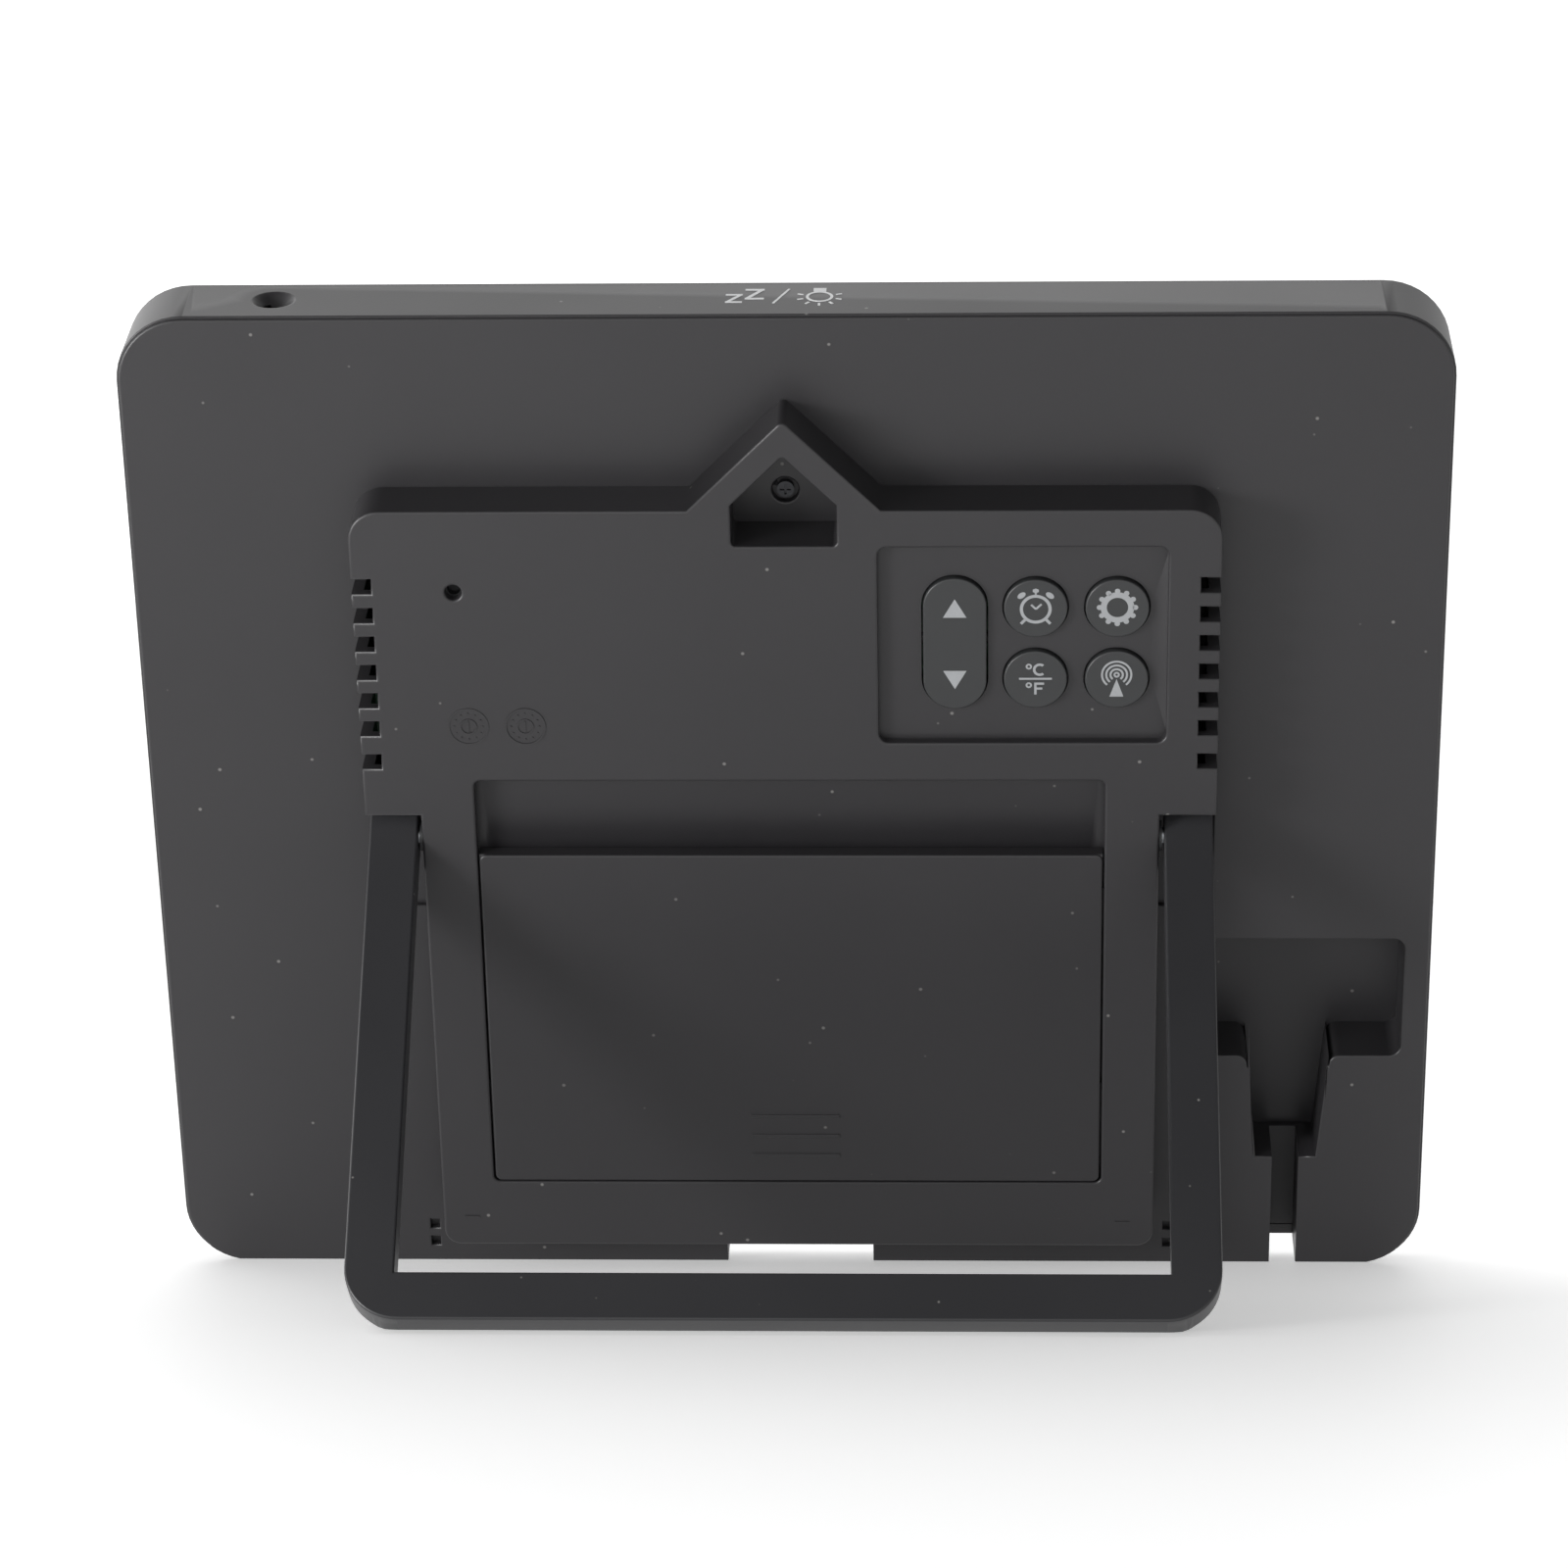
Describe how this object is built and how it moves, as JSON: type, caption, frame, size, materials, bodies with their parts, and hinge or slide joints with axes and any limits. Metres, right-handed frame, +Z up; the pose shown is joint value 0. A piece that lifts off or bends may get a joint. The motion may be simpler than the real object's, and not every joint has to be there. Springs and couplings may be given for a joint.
{
  "type": "digital frame clock with rear stand",
  "caption": "Picture-frame-shaped digital clock: thin case, raised rear housing with keys and battery door, plug bay, hanging pocket and folding U-shaped stand.",
  "frame": {"origin": "centre of the footprint on the surface that it stands on, stand open", "axes": "+Z up, +X along the width, +Y out of the back, so the display looks along -Y and up"},
  "size_m": [0.23, 0.109, 0.1793],
  "materials": {
    "case_abs": "fine matt texture",
    "carrier_abs": "matt",
    "stand_abs": "satin",
    "door_abs": "fine matt texture",
    "key_abs": "satin, printed symbols",
    "window_acrylic": "polished",
    "lcd_glass": "polished",
    "guide_acrylic": "polished",
    "steel": "zinc plated",
    "black_screw": "black oxide",
    "nylon": "matt",
    "cell_jacket": "printed sleeve",
    "plated_spring_steel": "nickel plated",
    "lead_pvc": "satin",
    "circuit_board": "solder mask",
    "switch_metal": "pressed",
    "chip_epoxy": "matt",
    "ribbon_film": "polyimide film",
    "socket_black": "matt",
    "ferrite": "sintered",
    "copper_wire": "enamelled",
    "sensor_clear": "clear epoxy"
  },
  "bodies": {
    "case": {"front_case": "case_abs", "display_window": "window_acrylic", "lcd_glass": "lcd_glass", "backlight_guide": "guide_acrylic", "display_carrier": "carrier_abs", "carrier_screws": "steel", "back_cover": "case_abs", "case_screws": "black_screw", "left_hinge_pin": "steel", "right_hinge_pin": "steel", "hinge_washers": "nylon", "cell_1": "cell_jacket", "cell_2": "cell_jacket", "cell_3": "cell_jacket", "cell_4": "cell_jacket", "cell_springs": "steel", "cell_contacts": "plated_spring_steel", "battery_leads": "lead_pvc", "key_board": "circuit_board", "key_board_screws": "steel", "key_switches": "switch_metal", "main_board": "circuit_board", "main_board_screws": "steel", "main_chip": "chip_epoxy", "clock_crystal": "steel", "ribbon_socket": "nylon", "display_ribbon": "ribbon_film", "power_jack": "socket_black", "antenna_rod": "ferrite", "antenna_coil": "copper_wire", "antenna_clips": "nylon", "buzzer": "socket_black", "thermistor_board": "circuit_board", "thermistor_bead": "chip_epoxy", "light_sensor": "sensor_clear", "snooze_pad": "copper_wire"},
    "stand": {"stand": "stand_abs"},
    "battery_door": {"battery_door": "door_abs"},
    "alarm_key": {"alarm_key": "key_abs"},
    "settings_key": {"settings_key": "key_abs"},
    "unit_key": {"unit_key": "key_abs"},
    "signal_key": {"signal_key": "key_abs"},
    "up_down_key": {"up_down_key": "key_abs"}
  },
  "joints": [
    {"name": "stand_hinge", "type": "hinge", "parent": "case", "child": "stand", "pos_m": [0, 0.00697, 0.0821], "axis": [1, 0, 0], "range_deg": [-54, 0]},
    {"name": "door_slide", "type": "slide", "parent": "case", "child": "battery_door", "axis": [0, 0.4226, 0.9063], "range_m": [0, 0.012]},
    {"name": "alarm_press", "type": "slide", "parent": "case", "child": "alarm_key", "axis": [0, -0.9063, 0.4226], "range_m": [0, 0.0008], "stiffness_N_per_m": 1500, "springref_m": -0.0002},
    {"name": "settings_press", "type": "slide", "parent": "case", "child": "settings_key", "axis": [0, -0.9063, 0.4226], "range_m": [0, 0.0008], "stiffness_N_per_m": 1500, "springref_m": -0.0002},
    {"name": "unit_press", "type": "slide", "parent": "case", "child": "unit_key", "axis": [0, -0.9063, 0.4226], "range_m": [0, 0.0008], "stiffness_N_per_m": 1500, "springref_m": -0.0002},
    {"name": "signal_press", "type": "slide", "parent": "case", "child": "signal_key", "axis": [0, -0.9063, 0.4226], "range_m": [0, 0.0008], "stiffness_N_per_m": 1500, "springref_m": -0.0002},
    {"name": "up_down_rock", "type": "hinge", "parent": "case", "child": "up_down_key", "pos_m": [-0.0293, 0.0226, 0.11751], "axis": [1, 0, 0], "range_deg": [-3, 3], "stiffness_Nm_per_rad": 0.25}
  ]
}
